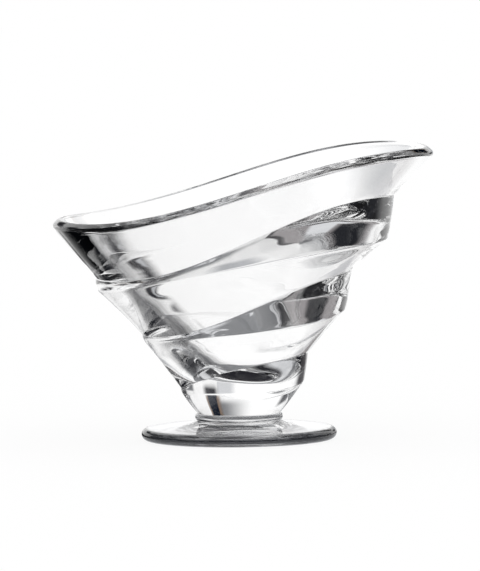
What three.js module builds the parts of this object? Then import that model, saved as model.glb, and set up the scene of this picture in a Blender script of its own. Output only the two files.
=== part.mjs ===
// A footed dessert glass of clear pressed glass: a terraced bowl with a wavy rim, the wafer that
// joins it to its foot, and the round foot. Millimetres, +Z up. The origin is the centre of the
// foot's flat underside. The bowl leans: its rim is high at the right (+X) and low at the left (-X).

import * as THREE from 'three';
import { mergeVertices } from 'three/addons/utils/BufferGeometryUtils.js';

// Fineness of the round forms: steps of a full turn, of a profile's arc, of a rounded corner, and
// of a wall that bows between two corners. The skin is made of triangles.
const TURN_STEPS = 72;
const ARC_STEPS = 5;
const CORNER_STEPS = 2;
const WALL_STEPS = 3;
const TRIANGLE_CORNERS = 3;

// Foot: a flat disc with a rounded edge, whose top sweeps up to the neck.
const FOOT_RADIUS = 31.8;
const FOOT_EDGE_HEIGHT = 3.9;
const FOOT_SWEEP_HEIGHT = 2.4;
const FOOT_SWEEP_REACH = 3.2;

// Neck: the flat joint faces share one radius, and the wafer's rounded edge stands proud of them.
const NECK_RADIUS = 13.5;
const WAFER_HEIGHT = 2.4;
const WAFER_BULGE = 0.8;

// Bowl, outside. Each step climbs from one ring of the bowl to the next: how far it spreads and rises
// at the left and at the right, how the ring at its top is lifted at front and back and swayed into
// an S between its low and high ends, and how far the wall bows out halfway up.
const BASE_CONE = {
  spreadLeft: 4.9, spreadRight: 7.9, riseLeft: 6.4, riseRight: 10.2, lift: -0.6, sway: -1.4, bow: 0.2,
};
const LOWER_RISER = {
  spreadLeft: 0.5, spreadRight: 1.3, riseLeft: 2.0, riseRight: 9.2, lift: 2.2, sway: -1.0, bow: 0.1,
};
const LOWER_FLARE = {
  spreadLeft: 11.5, spreadRight: 12.5, riseLeft: 15.0, riseRight: 14.2, lift: -0.5, sway: -1.9, bow: -0.15,
};
const MIDDLE_RISER = {
  spreadLeft: 0.8, spreadRight: 2.1, riseLeft: 2.5, riseRight: 12.7, lift: -0.5, sway: 4.4, bow: 0.15,
};
const MIDDLE_FLARE = {
  spreadLeft: 14.6, spreadRight: 12.0, riseLeft: 14.7, riseRight: 10.3, lift: 1.8, sway: 0.7, bow: -0.35,
};
const UPPER_RISER = {
  spreadLeft: 0.5, spreadRight: 1.9, riseLeft: 4.2, riseRight: 14.0, lift: 0.6, sway: 8.5, bow: 0.12,
};
const RIM_FLARE = {
  spreadLeft: 14.2, spreadRight: 13.4, riseLeft: 17.2, riseRight: 13.6, lift: 0.5, sway: 7.5, bow: 0,
};

// Bowl, inside: the rim's width and slope, how thick the glass is at the left and right behind the
// tops of the upper and middle risers, with the inner wall's own wave there, the belly that the wall
// has between the middle riser and the floor, the solid glass under the floor, and the floor itself.
const RIM_WALL = 3.0;
const RIM_EDGE_RISE = 2.5;
const UPPER_WALL = { left: 6.5, right: 3.7, lift: 0.5, sway: 7.2 };
const MIDDLE_WALL = { left: 8.8, right: 2.2, lift: 0.5, sway: 2.3 };
const BELLY = 1.2;
const BELLY_PLACE = 0.55;
const BASE_GLASS = 10.7;
const FLOOR_RADIUS = 8.8;
const FLOOR_SHIFT = 3.2;

// Corner rounding, never more than the largest share of the shorter wall beside a corner.
const LEDGE_ROUND = 0.8;
const CREASE_ROUND = 0.3;
const RIM_ROUND = 1.5;
const INNER_ROUND = 9.5;
const FLOOR_ROUND = 6.5;
const LARGEST_SHARE = 0.45;

const clearGlass = new THREE.MeshStandardMaterial({
  name: 'clear_glass',
  color: 0xf2f6f7,
  roughness: 0.02,
  metalness: 0,
  transparent: true,
  opacity: 0.35,
});

const footHeight = FOOT_EDGE_HEIGHT + FOOT_SWEEP_HEIGHT;
const bowlBottom = footHeight + WAFER_HEIGHT;

// A ring of the bowl reaches left and right of the foot's axis and stands at a low and a high level.
function levelRing(radius, shift, level) {
  return { left: radius - shift, right: radius + shift, low: level, high: level, lift: 0, sway: 0 };
}

function climb(ring, step) {
  return {
    left: ring.left + step.spreadLeft,
    right: ring.right + step.spreadRight,
    low: ring.low + step.riseLeft,
    high: ring.high + step.riseRight,
    lift: step.lift,
    sway: step.sway,
  };
}

// The ring of the inner wall that lies behind a ring of the outer wall.
function behind(ring, wall) {
  return {
    ...ring,
    left: ring.left - wall.left,
    right: ring.right - wall.right,
    lift: wall.lift,
    sway: wall.sway,
  };
}

function bowed(ring, amount) {
  return { ...ring, left: ring.left + amount, right: ring.right + amount };
}

function raised(ring, rise) {
  return { ...ring, low: ring.low + rise, high: ring.high + rise };
}

function between(ring, other, share) {
  const mix = (key) => ring[key] + (other[key] - ring[key]) * share;
  return {
    left: mix('left'),
    right: mix('right'),
    low: mix('low'),
    high: mix('high'),
    lift: mix('lift'),
    sway: mix('sway'),
  };
}

// Mean length of the wall between two rings.
function wallLength(ring, other) {
  const leftLength = Math.hypot(other.left - ring.left, other.low - ring.low);
  const rightLength = Math.hypot(other.right - ring.right, other.high - ring.high);
  return (leftLength + rightLength) / 2;
}

// The point of a ring at an angle counted from the right, +X.
function ringPoint(ring, angle, target) {
  const radius = (ring.left + ring.right) / 2;
  const shift = (ring.right - ring.left) / 2;
  const across = Math.cos(angle);
  const aside = Math.sin(angle);
  const climbHere = ring.low + ((ring.high - ring.low) * (1 + across)) / 2;
  const wave = aside * aside * (ring.lift + ring.sway * across);
  return target.set(shift + radius * across, radius * aside, climbHere + wave);
}

// The rings that round off a corner ring, on a quadratic curve that leaves the walls on both sides.
function roundedCorner(before, corner, after, size) {
  const start = between(corner, before, Math.min(LARGEST_SHARE, size / wallLength(corner, before)));
  const end = between(corner, after, Math.min(LARGEST_SHARE, size / wallLength(corner, after)));
  const rings = [];
  for (let step = 0; step <= CORNER_STEPS; step += 1) {
    const share = step / CORNER_STEPS;
    rings.push(between(between(start, corner, share), between(corner, end, share), share));
  }
  return rings;
}

// The rings of a wall that bows out, or in, between two rings, without those two.
function bowedWall(ring, other, bow) {
  const rings = [];
  for (let step = 1; step < WALL_STEPS; step += 1) {
    const share = step / WALL_STEPS;
    rings.push(bowed(between(ring, other, share), 4 * share * (1 - share) * bow));
  }
  return rings;
}

// A skin runs through corner rings, each with its rounding and the bow of the wall that leads to it.
function skinRings(corners) {
  const rings = [corners[0].ring];
  for (let index = 1; index < corners.length - 1; index += 1) {
    const { ring, round, bow } = corners[index];
    const turn = roundedCorner(corners[index - 1].ring, ring, corners[index + 1].ring, round);
    if (bow) rings.push(...bowedWall(rings.at(-1), turn[0], bow));
    rings.push(...turn);
  }
  rings.push(corners.at(-1).ring);
  return rings;
}

// A closed body turned from a stack of rings, from the axis at the bottom to the axis at the top.
function turnedRings(rings) {
  const levels = rings.map((ring, index) => new THREE.Vector2(1, index));
  const geometry = new THREE.LatheGeometry(levels, TURN_STEPS);
  const position = geometry.attributes.position;
  const point = new THREE.Vector3();
  for (let vertex = 0; vertex < position.count; vertex += 1) {
    const turn = Math.floor(vertex / rings.length) % TURN_STEPS;
    const ring = rings[vertex % rings.length];
    ringPoint(ring, (turn / TURN_STEPS) * 2 * Math.PI, point);
    position.setXYZ(vertex, point.x, point.y, point.z);
  }
  return closedBody(geometry);
}

// A closed body turned from a plain profile of radius and height.
function turnedProfile(path) {
  const geometry = new THREE.LatheGeometry(path.getPoints(ARC_STEPS), TURN_STEPS);
  geometry.rotateX(Math.PI / 2);
  return closedBody(geometry);
}

// Shared vertices become one, and the triangles that shrink to nothing on the axis are dropped.
function closedBody(geometry) {
  geometry.deleteAttribute('normal');
  geometry.deleteAttribute('uv');
  const merged = mergeVertices(geometry, 1e-4);
  const index = merged.index.array;
  const kept = [];
  for (let corner = 0; corner < index.length; corner += TRIANGLE_CORNERS) {
    const [a, b, c] = index.slice(corner, corner + TRIANGLE_CORNERS);
    if (a !== b && b !== c && c !== a) kept.push(a, b, c);
  }
  merged.setIndex(kept);
  merged.computeVertexNormals();
  return merged;
}

function makeFoot() {
  const edgeRound = FOOT_EDGE_HEIGHT / 2;
  const profile = new THREE.Path();
  profile.moveTo(0, 0);
  profile.lineTo(FOOT_RADIUS - edgeRound, 0);
  profile.absarc(FOOT_RADIUS - edgeRound, edgeRound, edgeRound, -Math.PI / 2, Math.PI / 2, false);
  profile.quadraticCurveTo(NECK_RADIUS + FOOT_SWEEP_REACH, FOOT_EDGE_HEIGHT, NECK_RADIUS, footHeight);
  profile.lineTo(0, footHeight);
  return new THREE.Mesh(turnedProfile(profile), clearGlass);
}

function makeNeckWafer() {
  const half = WAFER_HEIGHT / 2;
  const profile = new THREE.Path();
  profile.moveTo(0, footHeight);
  profile.lineTo(NECK_RADIUS, footHeight);
  profile.absellipse(NECK_RADIUS, footHeight + half, WAFER_BULGE, half, -Math.PI / 2, Math.PI / 2, false);
  profile.lineTo(0, bowlBottom);
  return new THREE.Mesh(turnedProfile(profile), clearGlass);
}

function makeBowl() {
  const neck = levelRing(NECK_RADIUS, 0, bowlBottom);
  const baseTop = climb(neck, BASE_CONE);
  const lowerTop = climb(baseTop, LOWER_RISER);
  const middleFoot = climb(lowerTop, LOWER_FLARE);
  const middleTop = climb(middleFoot, MIDDLE_RISER);
  const upperFoot = climb(middleTop, MIDDLE_FLARE);
  const upperTop = climb(upperFoot, UPPER_RISER);
  const rimOuter = climb(upperTop, RIM_FLARE);
  const rimInner = raised(bowed(rimOuter, -RIM_WALL), RIM_EDGE_RISE);
  const upperInner = behind(upperTop, UPPER_WALL);
  const middleInner = behind(middleTop, MIDDLE_WALL);
  const floorEdge = levelRing(FLOOR_RADIUS, FLOOR_SHIFT, bowlBottom + BASE_GLASS);
  const bellyRing = bowed(between(middleInner, floorEdge, BELLY_PLACE), BELLY);
  const floorCentre = levelRing(0, FLOOR_SHIFT, bowlBottom + BASE_GLASS);

  const skin = skinRings([
    { ring: neck },
    { ring: baseTop, round: LEDGE_ROUND, bow: BASE_CONE.bow },
    { ring: lowerTop, round: CREASE_ROUND, bow: LOWER_RISER.bow },
    { ring: middleFoot, round: LEDGE_ROUND, bow: LOWER_FLARE.bow },
    { ring: middleTop, round: CREASE_ROUND, bow: MIDDLE_RISER.bow },
    { ring: upperFoot, round: LEDGE_ROUND, bow: MIDDLE_FLARE.bow },
    { ring: upperTop, round: CREASE_ROUND, bow: UPPER_RISER.bow },
    { ring: rimOuter, round: RIM_ROUND, bow: RIM_FLARE.bow },
    { ring: rimInner, round: RIM_ROUND },
    { ring: upperInner, round: INNER_ROUND },
    { ring: middleInner, round: INNER_ROUND },
    { ring: bellyRing, round: INNER_ROUND },
    { ring: floorEdge, round: FLOOR_ROUND },
    { ring: floorCentre },
  ]);
  const jointCentre = levelRing(0, 0, bowlBottom);
  return new THREE.Mesh(turnedRings([jointCentre, ...skin]), clearGlass);
}

const dessertGlass = new THREE.Group();
const pieces = { foot: makeFoot(), neck_wafer: makeNeckWafer(), bowl: makeBowl() };
for (const [name, mesh] of Object.entries(pieces)) {
  mesh.name = name;
  dessertGlass.add(mesh);
}

export default dessertGlass;
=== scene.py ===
# Footed dessert glass of clear pressed glass: a terraced bowl with a wavy rim, a neck wafer and a foot.
# Metres, +Z up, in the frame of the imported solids.
import math

import bmesh
import bpy
from bpy.props import FloatProperty, FloatVectorProperty, IntProperty, PointerProperty
from bpy.types import Operator, Panel, PropertyGroup
from mathutils import Matrix, Vector


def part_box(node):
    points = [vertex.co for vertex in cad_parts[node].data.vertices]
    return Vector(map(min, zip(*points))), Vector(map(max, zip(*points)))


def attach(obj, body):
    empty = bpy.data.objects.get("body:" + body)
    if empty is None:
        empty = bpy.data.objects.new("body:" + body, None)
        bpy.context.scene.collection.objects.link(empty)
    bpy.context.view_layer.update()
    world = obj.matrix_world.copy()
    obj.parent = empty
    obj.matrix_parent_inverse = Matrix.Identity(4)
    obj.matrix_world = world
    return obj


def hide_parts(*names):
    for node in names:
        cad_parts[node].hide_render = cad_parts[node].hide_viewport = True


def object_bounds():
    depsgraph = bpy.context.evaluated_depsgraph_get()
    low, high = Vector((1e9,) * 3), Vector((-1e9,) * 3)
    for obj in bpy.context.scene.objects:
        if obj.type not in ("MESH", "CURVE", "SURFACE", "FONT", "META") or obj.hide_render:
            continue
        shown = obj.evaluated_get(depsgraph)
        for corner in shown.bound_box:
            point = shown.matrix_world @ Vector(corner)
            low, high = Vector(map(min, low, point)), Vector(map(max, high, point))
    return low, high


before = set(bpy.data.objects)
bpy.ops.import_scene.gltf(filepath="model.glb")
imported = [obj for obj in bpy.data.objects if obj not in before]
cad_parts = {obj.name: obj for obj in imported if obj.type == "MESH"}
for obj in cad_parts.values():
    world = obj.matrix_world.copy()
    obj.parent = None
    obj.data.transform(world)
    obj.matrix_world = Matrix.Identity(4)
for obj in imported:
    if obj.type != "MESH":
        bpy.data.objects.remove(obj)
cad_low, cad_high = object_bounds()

bl_info = {
    "name": "Dessert glass",
    "version": (1, 0, 0),
    "blender": (4, 5, 0),
    "location": "3D View > Sidebar > Dessert glass",
    "description": "Models a footed dessert glass of clear pressed glass and its studio",
    "category": "Add Mesh",
}

MM = 0.001
BODY = "root"
LARGEST_SHARE = 0.45
FLAT = 1e-6
SMOOTH_ANGLE = math.radians(40.0)
RIPPLE_LEAN = math.radians(16.0)
RIPPLE_STRENGTH = "ripple_strength"
# Attribute that masks the painted shade towards the foot's rounded edge
EDGE_SHADE_SHARE = "edge_shade_share"

foot_low, foot_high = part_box("foot")
wafer_low, wafer_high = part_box("neck_wafer")


def length(name, description, size):
    """A length property whose default is given in millimetres."""
    return FloatProperty(
        name=name, description=description, default=size * MM, unit="LENGTH", precision=5
    )


def climb_step(name, *sizes):
    """The seven sizes of one step of the bowl's outside, with defaults in millimetres."""
    return FloatVectorProperty(
        name=name,
        description="Spread left and right, rise left and right, lift, sway and bow",
        size=7,
        default=[size * MM for size in sizes],
        unit="LENGTH",
        precision=5,
    )


def inner_ring(name, *sizes):
    """The four sizes of one ring of the inner wall, with defaults in millimetres."""
    return FloatVectorProperty(
        name=name,
        description="Glass thickness left and right, lift and sway of the inner wall",
        size=4,
        default=[size * MM for size in sizes],
        unit="LENGTH",
        precision=5,
    )


# Sizes and finishes that a user would change

class FootSizes(PropertyGroup):
    """Sizes of the foot and of the neck wafer that joins it to the bowl."""

    radius: length("Foot radius", "Radius of the foot's disc", foot_high.x / MM)
    edge_height: length("Edge height", "Height of the foot's rounded edge", 3.9)
    sweep_reach: length("Sweep reach", "How far the foot's top sweeps out from the neck", 3.2)
    neck_radius: length("Neck radius", "Radius of the two fused joint faces", 13.5)
    wafer_bulge: length("Wafer bulge", "How far the wafer's edge stands proud of the joint faces", 0.8)


class BowlSizes(PropertyGroup):
    """Sizes of the bowl, ring by ring, from the neck up the outside and down the inside."""

    base_cone: climb_step("Base cone", 4.9, 7.9, 6.4, 10.2, -0.6, -1.4, 0.2)
    lower_riser: climb_step("Lower riser", 0.5, 1.3, 2.0, 9.2, 2.2, -1.0, 0.1)
    lower_flare: climb_step("Lower flare", 11.5, 12.5, 15.0, 14.2, -0.5, -1.9, -0.15)
    middle_riser: climb_step("Middle riser", 0.8, 2.1, 2.5, 12.7, -0.5, 4.4, 0.15)
    middle_flare: climb_step("Middle flare", 14.6, 12.0, 14.7, 10.3, 1.8, 0.7, -0.35)
    upper_riser: climb_step("Upper riser", 0.5, 1.9, 4.2, 14.0, 0.6, 8.5, 0.12)
    rim_flare: climb_step("Rim flare", 14.2, 13.4, 17.2, 13.6, 0.5, 7.5, 0.0)
    rim_wall: length("Rim wall", "Width of the rim's edge", 3.0)
    rim_edge_rise: length("Rim edge rise", "How far the rim's edge slopes up towards the inside", 2.5)
    upper_wall: inner_ring("Upper wall", 6.5, 3.7, 0.5, 7.2)
    middle_wall: inner_ring("Middle wall", 8.8, 2.2, 0.5, 2.3)
    belly: length("Belly", "How far the inner wall bellies out above the floor", 1.2)
    belly_place: FloatProperty(
        name="Belly place",
        description="Where the belly lies, from the middle riser to the floor",
        default=0.55,
        subtype="FACTOR",
    )
    base_glass: length("Base glass", "Solid glass under the bowl's floor", 10.7)
    floor_radius: length("Floor radius", "Radius of the bowl's floor", 8.8)
    floor_shift: length("Floor shift", "How far the floor lies right of the foot's axis", 3.2)
    ledge_round: length("Ledge rounding", "Rounding of the ledges' edges", 0.8)
    crease_round: length("Crease rounding", "Rounding of the creases above the risers", 0.3)
    rim_round: length("Rim rounding", "Rounding of the rim's two edges", 1.5)
    inner_round: length("Inner rounding", "Rounding of the inner wall", 9.5)
    floor_round: length("Floor rounding", "Rounding between the inner wall and the floor", 6.5)
    calm_depth: length("Calm depth", "How far below the rim the ripples reach their full depth", 15.0)


class GlassFinish(PropertyGroup):
    """Finish of the clear pressed glass."""

    tint: FloatVectorProperty(
        name="Tint",
        description="Colour of the glass",
        default=(1.0, 1.0, 1.0, 1.0),
        size=4,
        subtype="COLOR",
    )
    # Painted shade: a near-black colour mixed into the glass towards the foot's rounded edge, so that
    # the edge renders dark
    edge_painted_shade: FloatVectorProperty(
        name="Edge tint",
        description="Colour of the glass at the foot's edge",
        default=(0.045, 0.048, 0.056, 1.0),
        size=4,
        subtype="COLOR",
    )
    ior: FloatProperty(name="IOR", description="Index of refraction of soda-lime glass", default=1.52)
    polish: FloatProperty(
        name="Polish", description="Roughness of the fire-polished skin", default=0.004, subtype="FACTOR"
    )
    ripple: length("Ripple", "Depth of the faint ripples left by the mould", 0.6)


class Fineness(PropertyGroup):
    """Fineness of the turned surfaces."""

    around: IntProperty(name="Steps around", description="Steps of a full turn", default=288)
    corner: IntProperty(name="Steps in a corner", description="Steps of a rounded ledge", default=6)
    wall: IntProperty(name="Steps in a wall", description="Steps between two corners", default=8)
    bend: IntProperty(name="Steps in a bend", description="Steps of a bend or round edge", default=14)


class DessertGlass(PropertyGroup):
    """All values of the dessert glass."""

    foot: PointerProperty(type=FootSizes)
    bowl: PointerProperty(type=BowlSizes)
    finish: PointerProperty(type=GlassFinish)
    fineness: PointerProperty(type=Fineness)


# Rings of the turned glass

class Ring:
    """A closed loop: reach left and right, low and high end, and the lift and sway of its wave."""

    def __init__(self, left, right, low, high, lift=0.0, sway=0.0):
        self.values = (left, right, low, high, lift, sway)

    @classmethod
    def level(cls, radius, height, shift=0.0):
        """A flat round loop, shifted to the right."""
        return cls(radius - shift, radius + shift, height, height)

    def climbed(self, step):
        """The loop one step further up the outside."""
        left, right, low, high = (value + rise for value, rise in zip(self.values[:4], step))
        return Ring(left, right, low, high, step[4], step[5])

    def behind(self, wall):
        """The loop of the inner wall behind this one."""
        left, right, low, high, lift, sway = self.values
        return Ring(left - wall[0], right - wall[1], low, high, wall[2], wall[3])

    def bowed(self, amount, rise=0.0):
        """The loop widened all round and raised."""
        left, right, low, high, lift, sway = self.values
        return Ring(left + amount, right + amount, low + rise, high + rise, lift, sway)

    def mixed(self, other, share):
        """The loop a share of the way to another one."""
        return Ring(*(a + (b - a) * share for a, b in zip(self.values, other.values)))

    def distance(self, other):
        """The mean length of the wall to another loop, from its left and right ends."""
        left, right, low, high = (b - a for a, b in zip(self.values[:4], other.values[:4]))
        return (math.hypot(left, low) + math.hypot(right, high)) / 2

    def centre(self):
        """The middle of the loop."""
        left, right, low, high, lift, sway = self.values
        return Vector(((right - left) / 2, 0.0, (low + high) / 2))

    def point(self, angle):
        """The point of the loop at an angle, which is 0 at its right end."""
        left, right, low, high, lift, sway = self.values
        across, aside = math.cos(angle), math.sin(angle)
        radius, shift = (left + right) / 2, (right - left) / 2
        height = low + (high - low) * (1 + across) / 2 + aside * aside * (lift + sway * across)
        return Vector((shift + radius * across, radius * aside, height))


def rounded_corner(before, corner, after, size, steps):
    """The rings of a corner, on a quadratic curve that leaves the walls on both sides."""
    start = corner.mixed(before, min(LARGEST_SHARE, size / corner.distance(before)))
    end = corner.mixed(after, min(LARGEST_SHARE, size / corner.distance(after)))
    shares = [step / steps for step in range(steps + 1)]
    return [start.mixed(corner, share).mixed(corner.mixed(end, share), share) for share in shares]


def wall_rings(start, end, bow, steps):
    """The rings of a wall between two rings, bowed out or in, without those two."""
    shares = [step / steps for step in range(1, steps)]
    return [start.mixed(end, share).bowed(4 * share * (1 - share) * bow) for share in shares]


def half_round(radius, height, bulge, half_height, steps):
    """The level rings of a rounded edge, from its lower to its upper end."""
    angles = [math.pi * (step / steps - 0.5) for step in range(steps + 1)]
    return [
        Ring.level(radius + bulge * math.cos(angle), height + half_height * math.sin(angle))
        for angle in angles
    ]


def skin_rings(corners, wall_steps):
    """The rings through corners of (ring, rounding, steps, bow of the wall that leads there)."""
    rings = [corners[0][0]]
    for before, (ring, size, steps, bow), after in zip(corners, corners[1:], corners[2:]):
        turn = rounded_corner(before[0], ring, after[0], size, steps)
        rings += wall_rings(rings[-1], turn[0], bow, wall_steps) + turn
    last = corners[-1][0]
    return rings + wall_rings(rings[-1], last, 0.0, wall_steps) + [last]


# Mesh work

def place_selected(piece, ring, centre):
    """Moves the selected loop onto a ring. Each vertex keeps its angle about the loop's old centre."""
    edit = bmesh.from_edit_mesh(piece.data)
    for vertex in edit.verts:
        if vertex.select:
            vertex.co = ring.point(math.atan2(vertex.co.y, vertex.co.x - centre))
    bmesh.update_edit_mesh(piece.data)


def turned_piece(name, rings, around):
    """Extrudes a disc's edge through the rings, from the axis below to the axis above."""
    first, *middle, last = rings
    bpy.ops.object.select_all(action="DESELECT")
    bpy.ops.mesh.primitive_circle_add(vertices=around, radius=1.0, fill_type="TRIFAN")
    piece = bpy.context.object
    piece.name = name
    piece.data.name = name
    bpy.ops.object.mode_set(mode="EDIT")
    bpy.ops.mesh.select_mode(type="EDGE")
    bpy.ops.mesh.select_all(action="SELECT")
    bpy.ops.mesh.region_to_loop()
    edit = bmesh.from_edit_mesh(piece.data)
    pole = next(vertex for vertex in edit.verts if not vertex.select)
    pole.co = first.centre()
    place_selected(piece, middle[0], 0.0)
    for below, ring in zip(middle, middle[1:]):
        bpy.ops.mesh.extrude_edges_move()
        place_selected(piece, ring, below.centre().x)
    bpy.ops.mesh.extrude_edges_move()
    bpy.ops.mesh.merge(type="COLLAPSE")
    edit = bmesh.from_edit_mesh(piece.data)
    for vertex in edit.verts:
        if vertex.select:
            vertex.co = last.centre()
    bmesh.update_edit_mesh(piece.data)
    bpy.ops.mesh.select_all(action="SELECT")
    bpy.ops.mesh.normals_make_consistent(inside=False)
    bpy.ops.object.mode_set(mode="OBJECT")
    bpy.ops.object.shade_smooth_by_angle(angle=SMOOTH_ANGLE)
    return piece


def dress(piece, glass, node, joint_heights):
    """Gives a piece its glass, clears the faces fused to its neighbour, and ties it to the frame."""
    piece.data.materials.append(glass)
    piece.data.materials.append(fused_joint())
    for face in piece.data.polygons:
        heights = [piece.data.vertices[vertex].co.z for vertex in face.vertices]
        level = max(heights) - min(heights) < FLAT
        if level and any(abs(heights[0] - joint) < FLAT for joint in joint_heights):
            face.material_index = 1
    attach(piece, BODY)
    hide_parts(node)


# Materials

def glass_skin_group():
    """Node group: faint ripples and polish that vary over a pressed glass surface."""
    name = "pressed glass skin"
    if name in bpy.data.node_groups:
        return bpy.data.node_groups[name]
    group = bpy.data.node_groups.new(name, "ShaderNodeTree")
    sockets = group.interface
    for label, default in (("Ripple Scale", 60.0), ("Stretch", 1.0), ("Polish", 0.004)):
        socket = sockets.new_socket(label, in_out="INPUT", socket_type="NodeSocketFloat")
        socket.default_value = default
    sockets.new_socket("Height", in_out="OUTPUT", socket_type="NodeSocketFloat")
    sockets.new_socket("Roughness", in_out="OUTPUT", socket_type="NodeSocketFloat")
    nodes, links = group.nodes, group.links
    given = nodes.new("NodeGroupInput")
    result = nodes.new("NodeGroupOutput")
    place = nodes.new("ShaderNodeTexCoord")
    lean = nodes.new("ShaderNodeMapping")
    lean.inputs["Rotation"].default_value = (0.0, RIPPLE_LEAN, 0.0)
    stretch = nodes.new("ShaderNodeCombineXYZ")
    stretched = nodes.new("ShaderNodeVectorMath")
    stretched.operation = "MULTIPLY"
    ripple = nodes.new("ShaderNodeTexNoise")
    ripple.inputs["Detail"].default_value = 0.0
    ripple.inputs["Distortion"].default_value = 0.25
    haze = nodes.new("ShaderNodeTexNoise")
    haze.inputs["Scale"].default_value = 35.0
    haze.inputs["Detail"].default_value = 3.0
    polish = nodes.new("ShaderNodeMath")
    polish.operation = "MULTIPLY"
    stretch.inputs["X"].default_value = 1.0
    stretch.inputs["Y"].default_value = 1.0
    links.new(given.outputs["Stretch"], stretch.inputs["Z"])
    links.new(place.outputs["Object"], lean.inputs["Vector"])
    links.new(lean.outputs["Vector"], stretched.inputs[0])
    links.new(stretch.outputs["Vector"], stretched.inputs[1])
    links.new(stretched.outputs["Vector"], ripple.inputs["Vector"])
    links.new(given.outputs["Ripple Scale"], ripple.inputs["Scale"])
    links.new(place.outputs["Object"], haze.inputs["Vector"])
    links.new(haze.outputs["Fac"], polish.inputs[0])
    links.new(given.outputs["Polish"], polish.inputs[1])
    links.new(ripple.outputs["Fac"], result.inputs["Height"])
    links.new(polish.outputs["Value"], result.inputs["Roughness"])
    return group


def pressed_glass(name, finish, ripple_scale, ripple_stretch, ripple_share, strength_name=None):
    """Clear glass whose skin has faint ripples of its own size, which a named attribute may calm."""
    material = bpy.data.materials.new(name)
    material.use_nodes = True
    nodes, links = material.node_tree.nodes, material.node_tree.links
    shader = nodes["Principled BSDF"]
    shader.inputs["Base Color"].default_value = finish.tint
    shader.inputs["IOR"].default_value = finish.ior
    shader.inputs["Transmission Weight"].default_value = 1.0
    shader.inputs["Metallic"].default_value = 0.0
    skin = nodes.new("ShaderNodeGroup")
    skin.node_tree = glass_skin_group()
    skin.inputs["Ripple Scale"].default_value = ripple_scale
    skin.inputs["Stretch"].default_value = ripple_stretch
    skin.inputs["Polish"].default_value = finish.polish
    bump = nodes.new("ShaderNodeBump")
    bump.inputs["Strength"].default_value = 1.0
    bump.inputs["Distance"].default_value = finish.ripple * ripple_share
    height = skin.outputs["Height"]
    if strength_name:
        strength = nodes.new("ShaderNodeAttribute")
        strength.attribute_name = strength_name
        calmed = nodes.new("ShaderNodeMath")
        calmed.operation = "MULTIPLY"
        links.new(height, calmed.inputs[0])
        links.new(strength.outputs["Fac"], calmed.inputs[1])
        height = calmed.outputs["Value"]
    links.new(height, bump.inputs["Height"])
    links.new(skin.outputs["Roughness"], shader.inputs["Roughness"])
    links.new(bump.outputs["Normal"], shader.inputs["Normal"])
    return material


def paint_edge_shade(material, finish):
    """Paints shade into the colour towards a disc's rounded edge: the glass is mixed there to the
    near-black edge colour, which is painted shade.
    """
    nodes, links = material.node_tree.nodes, material.node_tree.links
    depth = nodes.new("ShaderNodeAttribute")
    depth.attribute_name = EDGE_SHADE_SHARE
    painted_edge_mix = nodes.new("ShaderNodeMix")
    painted_edge_mix.data_type = "RGBA"
    painted_edge_mix.inputs["A"].default_value = finish.tint
    painted_edge_mix.inputs["B"].default_value = finish.edge_painted_shade
    links.new(depth.outputs["Fac"], painted_edge_mix.inputs["Factor"])
    links.new(painted_edge_mix.outputs["Result"], nodes["Principled BSDF"].inputs["Base Color"])


def fused_joint():
    """Clears the faces inside the neck, where the pieces are fused and light passes straight on."""
    name = "fused joint"
    if name in bpy.data.materials:
        return bpy.data.materials[name]
    material = bpy.data.materials.new(name)
    material.use_nodes = True
    material.node_tree.nodes["Principled BSDF"].inputs["Alpha"].default_value = 0.0
    return material


# Pieces

class GLASS_OT_foot(Operator):
    """Turns the round foot, with its rounded edge and its top swept up to the neck"""

    bl_idname = "dessert_glass.foot"
    bl_label = "Foot"

    def execute(self, context):
        values = context.scene.dessert_glass
        sizes, fine = values.foot, values.fineness
        edge = sizes.edge_height / 2
        inner = sizes.radius - edge
        top = foot_high.z
        centre_below = Ring.level(0.0, 0.0)
        underside = wall_rings(centre_below, Ring.level(inner, 0.0), 0.0, fine.wall)
        edge_rings = half_round(inner, edge, edge, edge, fine.bend)
        sweep_start = Ring.level(inner, sizes.edge_height)
        sweep_corner = Ring.level(sizes.neck_radius + sizes.sweep_reach, sizes.edge_height)
        neck = Ring.level(sizes.neck_radius, top)
        sweep = []
        for step in range(1, 2 * fine.bend + 1):
            share = step / (2 * fine.bend)
            outer = sweep_start.mixed(sweep_corner, share)
            sweep.append(outer.mixed(sweep_corner.mixed(neck, share), share))
        centre_above = Ring.level(0.0, top)
        joint = wall_rings(neck, centre_above, 0.0, fine.wall)
        rings = [centre_below] + underside + edge_rings + sweep + joint + [centre_above]
        piece = turned_piece("foot_glass", rings, fine.around)
        glass = pressed_glass(
            "foot glass", values.finish, ripple_scale=36.0, ripple_stretch=6.0, ripple_share=0.03
        )
        # Painted shade: the foot's glass colour darkens towards its rounded edge
        paint_edge_shade(glass, values.finish)
        self.mark_edge_shade(piece, inner, edge)
        dress(piece, glass, "foot", [top])
        return {"FINISHED"}

    def mark_edge_shade(self, piece, inner, edge):
        """Keeps how far out each point lies on the rounded edge, as the mask of its painted shade: 0 at
        its start, 1 at its crest.
        """
        depth = piece.data.attributes.new(EDGE_SHADE_SHARE, "FLOAT", "POINT")
        for vertex, value in zip(piece.data.vertices, depth.data):
            reach = math.hypot(vertex.co.x, vertex.co.y)
            value.value = min(1.0, max(0.0, (reach - inner) / edge))


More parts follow.
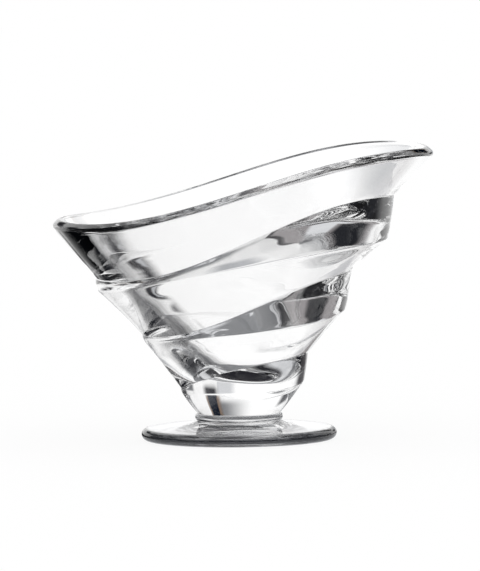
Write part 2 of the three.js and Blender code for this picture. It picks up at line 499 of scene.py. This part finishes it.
class GLASS_OT_neck_wafer(Operator):
    """Turns the wafer that is fused between the foot and the bowl"""

    bl_idname = "dessert_glass.neck_wafer"
    bl_label = "Neck wafer"

    def execute(self, context):
        values = context.scene.dessert_glass
        sizes, fine = values.foot, values.fineness
        low, high = wafer_low.z, wafer_high.z
        half = (high - low) / 2
        edge_rings = half_round(sizes.neck_radius, low + half, sizes.wafer_bulge, half, fine.bend)
        below = Ring.level(0.0, low)
        above = Ring.level(0.0, high)
        lower_face = wall_rings(below, edge_rings[0], 0.0, fine.wall)
        upper_face = wall_rings(edge_rings[-1], above, 0.0, fine.wall)
        rings = [below] + lower_face + edge_rings + upper_face + [above]
        piece = turned_piece("neck_wafer_glass", rings, fine.around)
        glass = pressed_glass(
            "wafer glass", values.finish, ripple_scale=50.0, ripple_stretch=8.0, ripple_share=0.15
        )
        dress(piece, glass, "neck_wafer", [low, high])
        return {"FINISHED"}


class GLASS_OT_bowl(Operator):
    """Turns the terraced bowl: up the outside, over the rim and down the inside to the floor"""

    bl_idname = "dessert_glass.bowl"
    bl_label = "Bowl"

    def execute(self, context):
        values = context.scene.dessert_glass
        sizes, fine = values.bowl, values.fineness
        bottom = wafer_high.z
        neck = Ring.level(values.foot.neck_radius, bottom)
        steps = (
            sizes.base_cone,
            sizes.lower_riser,
            sizes.lower_flare,
            sizes.middle_riser,
            sizes.middle_flare,
            sizes.upper_riser,
            sizes.rim_flare,
        )
        outside = [neck]
        for step in steps:
            outside.append(outside[-1].climbed(step))
        middle_top, upper_top, rim_outer = outside[4], outside[6], outside[7]
        rim_inner = rim_outer.bowed(-sizes.rim_wall, sizes.rim_edge_rise)
        upper_inner = upper_top.behind(sizes.upper_wall)
        middle_inner = middle_top.behind(sizes.middle_wall)
        floor_height = bottom + sizes.base_glass
        floor_edge = Ring.level(sizes.floor_radius, floor_height, sizes.floor_shift)
        belly = middle_inner.mixed(floor_edge, sizes.belly_place).bowed(sizes.belly)
        floor_centre = Ring.level(0.0, floor_height, sizes.floor_shift)

        corners = [(neck, 0.0, 0, 0.0)]
        for index, step in enumerate(steps[:-1]):
            size = sizes.ledge_round if index % 2 == 0 else sizes.crease_round
            corners.append((outside[index + 1], size, fine.corner, step[6]))
        corners += [
            (rim_outer, sizes.rim_round, fine.bend, sizes.rim_flare[6]),
            (rim_inner, sizes.rim_round, fine.bend, 0.0),
            (upper_inner, sizes.inner_round, fine.bend, 0.0),
            (middle_inner, sizes.inner_round, fine.bend, 0.0),
            (belly, sizes.inner_round, fine.bend, 0.0),
            (floor_edge, sizes.floor_round, fine.bend, 0.0),
            (floor_centre, 0.0, 0, 0.0),
        ]
        joint_centre = Ring.level(0.0, bottom)
        joint = wall_rings(joint_centre, neck, 0.0, fine.wall)
        rings = [joint_centre] + joint + skin_rings(corners, fine.wall)
        piece = turned_piece("bowl_glass", rings, fine.around)
        self.calm_rim(piece, rim_outer, sizes.calm_depth)
        glass = pressed_glass(
            "bowl glass",
            values.finish,
            ripple_scale=30.0,
            ripple_stretch=4.0,
            ripple_share=1.0,
            strength_name=RIPPLE_STRENGTH,
        )
        dress(piece, glass, "bowl", [bottom])
        return {"FINISHED"}

    def calm_rim(self, piece, rim, depth):
        """Keeps the ripples' strength at each point: none at the fire-polished rim, all of it below."""
        strength = piece.data.attributes.new(RIPPLE_STRENGTH, "FLOAT", "POINT")
        middle = rim.centre().x
        for vertex, value in zip(piece.data.vertices, strength.data):
            angle = math.atan2(vertex.co.y, vertex.co.x - middle)
            below = rim.point(angle).z - vertex.co.z
            value.value = min(1.0, max(0.0, below / depth))


# Studio

CARD_DISTANCE = 1.0
CARD_STEPS = 24
FLOOR_SIZE = 8.0
FLOOR_LEVEL = -0.0002
FLOOR_CARD_LEVEL = -0.0001
WALL_LAYER = 0.005
FLOOR_LAYER = 0.000002
GLASS_MIDDLE = Vector((0.0, 0.0, (cad_low.z + cad_high.z) / 2))

# Share of plain shading in the floor: in the light that it throws, and as the camera sees it
SHADED_SHARE = 0.75
SHADED_SHARE_SEEN = 0.1

BLACK = (0.008, 0.009, 0.012, 1.0)
NAVY = (0.006, 0.010, 0.020, 1.0)
DEEP = (0.016, 0.016, 0.020, 1.0)
SHADE = (0.05, 0.05, 0.056, 1.0)
SMOKE = (0.14, 0.14, 0.15, 1.0)
BROWN = (0.20, 0.14, 0.10, 1.0)
GREY = (0.22, 0.225, 0.235, 1.0)
DUSK = (0.28, 0.265, 0.27, 1.0)
MIST = (0.50, 0.51, 0.53, 1.0)
PEARL = (0.70, 0.71, 0.73, 1.0)
WHITE = (1.0, 1.0, 1.0, 1.0)
GLOW = (1.13, 1.13, 1.13, 1.0)


def white_world():
    """White all round, and a soft even light for the floor."""
    world = bpy.data.worlds.new("studio")
    bpy.context.scene.world = world
    world.use_nodes = True
    background = world.node_tree.nodes["Background"]
    background.inputs["Color"].default_value = WHITE
    background.inputs["Strength"].default_value = 1.0


def floor_material():
    """Pale floor: white of its own, with a share of plain shading that keeps the glass's shadow."""
    material = bpy.data.materials.new("pale floor")
    material.use_nodes = True
    nodes, links = material.node_tree.nodes, material.node_tree.links
    nodes.clear()
    glow = nodes.new("ShaderNodeEmission")
    shade = nodes.new("ShaderNodeBsdfDiffuse")
    shade.inputs["Color"].default_value = WHITE
    mix = nodes.new("ShaderNodeMixShader")
    path = nodes.new("ShaderNodeLightPath")
    share = nodes.new("ShaderNodeMapRange")
    share.inputs["To Min"].default_value = SHADED_SHARE
    share.inputs["To Max"].default_value = SHADED_SHARE_SEEN
    out = nodes.new("ShaderNodeOutputMaterial")
    links.new(path.outputs["Is Camera Ray"], share.inputs["Value"])
    links.new(share.outputs["Result"], mix.inputs["Fac"])
    links.new(glow.outputs["Emission"], mix.inputs[1])
    links.new(shade.outputs["BSDF"], mix.inputs[2])
    links.new(mix.outputs["Shader"], out.inputs["Surface"])
    return material


def card_material(name, colour, feathers):
    """Plain card whose edges fade out over shares of its width and height, for soft ends in glass."""
    material = bpy.data.materials.new(name)
    material.use_nodes = True
    nodes, links = material.node_tree.nodes, material.node_tree.links
    nodes.clear()
    place = nodes.new("ShaderNodeTexCoord")
    parts = nodes.new("ShaderNodeSeparateXYZ")
    links.new(place.outputs["UV"], parts.inputs["Vector"])
    cover = None
    for axis, edge, feather in zip("XXYY", (0.0, 1.0, 0.0, 1.0), feathers):
        fade = nodes.new("ShaderNodeMapRange")
        fade.interpolation_type = "SMOOTHSTEP"
        fade.inputs["From Min"].default_value = edge
        fade.inputs["From Max"].default_value = abs(edge - feather)
        links.new(parts.outputs[axis], fade.inputs["Value"])
        if cover is None:
            cover = fade.outputs["Result"]
            continue
        both = nodes.new("ShaderNodeMath")
        both.operation = "MULTIPLY"
        links.new(cover, both.inputs[0])
        links.new(fade.outputs["Result"], both.inputs[1])
        cover = both.outputs["Value"]
    clear = nodes.new("ShaderNodeBsdfTransparent")
    plain = nodes.new("ShaderNodeEmission")
    plain.inputs["Color"].default_value = colour
    mix = nodes.new("ShaderNodeMixShader")
    out = nodes.new("ShaderNodeOutputMaterial")
    links.new(cover, mix.inputs["Fac"])
    links.new(clear.outputs["BSDF"], mix.inputs[1])
    links.new(plain.outputs["Emission"], mix.inputs[2])
    links.new(mix.outputs["Shader"], out.inputs["Surface"])
    return material


def wall_point(azimuth, elevation, layer):
    """A point of a standing card: azimuth 0 is behind the glass and grows to the right, in degrees."""
    turn, rise = math.radians(azimuth), math.radians(elevation)
    distance = CARD_DISTANCE - layer * WALL_LAYER
    across = distance * math.cos(rise)
    return Vector((across * math.sin(turn), across * math.cos(turn), distance * math.sin(rise)))


def floor_point(azimuth, reach, layer):
    """A point of a card that lies on the floor, at a reach from the foot's axis in metres."""
    turn = math.radians(azimuth)
    level = FLOOR_CARD_LEVEL + layer * FLOOR_LAYER - GLASS_MIDDLE.z
    return Vector((reach * math.sin(turn), reach * math.cos(turn), level))


def studio_card(name, point, azimuths, spans, colour, feathers, layer, rig):
    """A card round the glass, bent to its place by a point function and seen only in the glass."""
    bpy.ops.object.select_all(action="DESELECT")
    bpy.ops.mesh.primitive_grid_add(x_subdivisions=CARD_STEPS, y_subdivisions=CARD_STEPS, size=1.0)
    card = bpy.context.object
    card.name = name
    for vertex in card.data.vertices:
        share_across, share_up = vertex.co.x + 0.5, vertex.co.y + 0.5
        azimuth = azimuths[0] + (azimuths[1] - azimuths[0]) * share_across
        span = spans[0] + (spans[1] - spans[0]) * share_up
        vertex.co = point(azimuth, span, layer)
    card.data.materials.append(card_material(name, colour, feathers))
    card.parent = rig
    card.visible_camera = False
    card.visible_diffuse = False
    card.visible_shadow = False


# Each card: its azimuths in degrees, its elevations in degrees or reaches in metres, its colour, and
# how much of it fades at its left, right, lower and upper edge. A later card lies in front of an
# earlier one.
CARDS = (
    ("back_softbox", wall_point, (-54.0, 15.0), (-6.0, 36.0), GLOW, (0.2, 0.05, 0.02, 0.15)),
    ("back_haze", wall_point, (-10.0, 17.5), (15.0, 36.0), GREY, (0.95, 0.02, 0.3, 0.2)),
    ("right_haze", wall_point, (3.0, 17.0), (-4.0, 10.0), PEARL, (0.4, 0.02, 0.1, 0.3)),
    ("right_strip", wall_point, (18.0, 27.5), (11.0, 36.0), NAVY, (0.08, 0.08, 0.2, 0.1)),
    ("right_fringe", wall_point, (14.5, 19.0), (12.0, 35.0), BROWN, (0.8, 0.05, 0.25, 0.1)),
    ("right_far_fringe", wall_point, (27.0, 30.0), (12.0, 35.0), BROWN, (0.05, 0.8, 0.25, 0.1)),
    ("right_low_card", wall_point, (40.0, 64.0), (-6.0, 9.0), GREY, (0.2, 0.1, 0.02, 0.3)),
    ("right_card", wall_point, (58.0, 182.0), (-6.0, 80.0), BLACK, (0.06, 0.02, 0.02, 0.05)),
    ("right_window", wall_point, (118.0, 136.0), (0.0, 17.0), WHITE, (0.15, 0.15, 0.1, 0.15)),
    ("back_top_card", wall_point, (-30.0, 64.0), (34.0, 80.0), SMOKE, (0.4, 0.05, 0.2, 0.05)),
    ("left_card", wall_point, (-104.0, -44.0), (-6.0, 28.0), SHADE, (0.05, 0.2, 0.02, 0.15)),
    ("left_post", wall_point, (-90.0, -50.0), (20.0, 46.0), SHADE, (0.1, 0.2, 0.02, 0.15)),
    ("left_low_card", wall_point, (-52.0, -29.0), (12.0, 30.0), SHADE, (0.1, 0.3, 0.25, 0.2)),
    ("left_bar", wall_point, (-38.0, -11.0), (11.0, 21.0), SHADE, (0.15, 0.3, 0.25, 0.3)),
    ("right_low_bar", wall_point, (15.0, 31.0), (-0.5, 9.5), SHADE, (0.3, 0.35, 0.3, 0.3)),
    ("front_left_card", wall_point, (-182.0, -143.0), (-6.0, 80.0), BLACK, (0.02, 0.05, 0.02, 0.05)),
    ("front_left_low_card", wall_point, (-146.0, -100.0), (-6.0, 8.0), BLACK, (0.05, 0.05, 0.02, 0.1)),
    ("front_left_top_card", wall_point, (-146.0, -92.0), (46.0, 80.0), GREY, (0.05, 0.1, 0.1, 0.05)),
    ("left_top_card", wall_point, (-94.0, -26.0), (48.0, 80.0), MIST, (0.1, 0.2, 0.1, 0.05)),
    ("top_card", wall_point, (-180.0, 180.0), (78.0, 90.0), GREY, (0.001, 0.001, 0.1, 0.001)),
    ("back_floor_card", floor_point, (-26.0, 20.0), (0.12, 1.4), GLOW, (0.25, 0.25, 0.05, 0.02)),
    ("back_floor_haze", floor_point, (-2.0, 18.0), (0.105, 0.19), MIST, (0.4, 0.3, 0.3, 0.4)),
    ("front_floor_card", floor_point, (104.0, 262.0), (0.033, 1.4), SHADE, (0.1, 0.1, 0.01, 0.02)),
    ("left_side_card", floor_point, (-128.0, -44.0), (0.11, 1.4), SMOKE, (0.1, 0.2, 0.1, 0.02)),
    ("right_side_card", floor_point, (46.0, 128.0), (0.11, 1.4), SMOKE, (0.2, 0.1, 0.1, 0.02)),
    # Painted shadow: a grey patch on the floor round the foot, where the glass's shadow lies, seen only
    # in the glass
    ("near_floor_card", floor_point, (-72.0, 72.0), (0.033, 0.095), GREY, (0.1, 0.1, 0.01, 0.55)),
    ("left_far_card", floor_point, (-84.0, -10.0), (0.100, 0.27), BLACK, (0.1, 0.6, 0.1, 0.4)),
    ("left_mid_card", floor_point, (-84.0, -10.0), (0.036, 0.135), BLACK, (0.1, 0.4, 0.05, 0.25)),
    ("left_near_card", floor_point, (-124.0, -48.0), (0.033, 0.115), SHADE, (0.15, 0.1, 0.05, 0.2)),
    ("left_loop_card", floor_point, (-29.0, -11.0), (0.175, 0.345), DEEP, (0.3, 0.4, 0.25, 0.4)),
    ("left_loop_light", floor_point, (-21.0, -14.5), (0.235, 0.29), MIST, (0.35, 0.35, 0.35, 0.35)),
    ("right_floor_card", floor_point, (29.0, 128.0), (0.042, 0.26), DUSK, (0.06, 0.2, 0.06, 0.4)),
    ("right_floor_line", floor_point, (29.5, 37.0), (0.055, 0.13), BLACK, (0.3, 0.5, 0.2, 0.3)),
    ("right_dark_ring", floor_point, (54.0, 96.0), (0.056, 0.082), BLACK, (0.3, 0.2, 0.15, 0.2)),
    ("right_bright_ring", floor_point, (58.0, 126.0), (0.080, 0.110), PEARL, (0.15, 0.2, 0.15, 0.2)),
    ("right_far_ring", floor_point, (50.0, 102.0), (0.108, 0.22), BLACK, (0.25, 0.2, 0.1, 0.5)),
    # Painted shade: a pale grey disc on the floor under the foot, seen only in the glass
    ("under_floor_card", floor_point, (0.0, 360.0), (0.0, 0.036), PEARL, (0.001, 0.001, 0.001, 0.001)),
    # Painted shade: a dark disc on the floor below the neck, seen only in the glass
    ("under_neck_card", floor_point, (0.0, 360.0), (0.0, 0.021), DEEP, (0.001, 0.001, 0.001, 0.25)),
)


class GLASS_OT_studio(Operator):
    """Sets up the white studio: pale floor, soft light, cards and the camera"""

    bl_idname = "dessert_glass.studio"
    bl_label = "Studio"

    def execute(self, context):
        scene = context.scene
        scene.view_settings.view_transform = "Standard"
        scene.cycles.max_bounces = 24
        scene.cycles.transmission_bounces = 24
        scene.cycles.glossy_bounces = 12
        scene.cycles.transparent_max_bounces = 24
        white_world()
        self.make_floor()
        camera = self.make_camera(scene)
        self.make_cards(camera)
        return {"FINISHED"}

    def make_floor(self):
        bpy.ops.object.select_all(action="DESELECT")
        bpy.ops.mesh.primitive_plane_add(size=FLOOR_SIZE, location=(0.0, 0.0, FLOOR_LEVEL))
        floor = bpy.context.object
        floor.name = "floor"
        floor.data.materials.append(floor_material())

    def make_camera(self, scene):
        distance, elevation, roll = 2.2, math.radians(4.1), math.radians(-0.65)
        target = Vector((0.0008, 0.0, 0.0501))
        place = target + distance * Vector((0.0, -math.cos(elevation), math.sin(elevation)))
        bpy.ops.object.camera_add(location=place)
        camera = bpy.context.object
        look = (target - place).to_track_quat("-Z", "Y").to_matrix().to_4x4()
        camera.matrix_world = Matrix.Translation(place) @ look @ Matrix.Rotation(roll, 4, "Z")
        camera.data.lens = 426.0
        camera.data.sensor_width = 36.0
        camera.data.clip_end = 20.0
        scene.camera = camera
        return camera

    def make_cards(self, camera):
        """The cards stand round the glass and keep their place as seen from the camera."""
        bpy.ops.object.empty_add(location=GLASS_MIDDLE)
        rig = bpy.context.object
        rig.name = "card_rig"
        follow = rig.constraints.new("LOCKED_TRACK")
        follow.target = camera
        follow.track_axis = "TRACK_NEGATIVE_Y"
        follow.lock_axis = "LOCK_Z"
        for layer, card in enumerate(CARDS):
            studio_card(*card, layer, rig)


class GLASS_PT_sidebar(Panel):
    """Lists the glass's pieces and values"""

    bl_idname = "GLASS_PT_sidebar"
    bl_label = "Dessert glass"
    bl_space_type = "VIEW_3D"
    bl_region_type = "UI"
    bl_category = "Dessert glass"

    def draw(self, context):
        values = context.scene.dessert_glass
        for operator in OPERATORS:
            self.layout.operator(operator.bl_idname)
        for group in (values.foot, values.bowl, values.finish, values.fineness):
            box = self.layout.box()
            for name in group.bl_rna.properties.keys():
                if name not in ("rna_type", "name"):
                    box.prop(group, name)


GROUPS = (FootSizes, BowlSizes, GlassFinish, Fineness, DessertGlass)
OPERATORS = (GLASS_OT_foot, GLASS_OT_neck_wafer, GLASS_OT_bowl, GLASS_OT_studio)
CLASSES = GROUPS + OPERATORS + (GLASS_PT_sidebar,)


def register():
    for part in CLASSES:
        bpy.utils.register_class(part)
    bpy.types.Scene.dessert_glass = PointerProperty(type=DessertGlass)


def unregister():
    del bpy.types.Scene.dessert_glass
    for part in reversed(CLASSES):
        bpy.utils.unregister_class(part)


def main():
    register()
    bpy.ops.dessert_glass.foot()
    bpy.ops.dessert_glass.neck_wafer()
    bpy.ops.dessert_glass.bowl()
    bpy.ops.dessert_glass.studio()


if __name__ == "__main__":
    main()
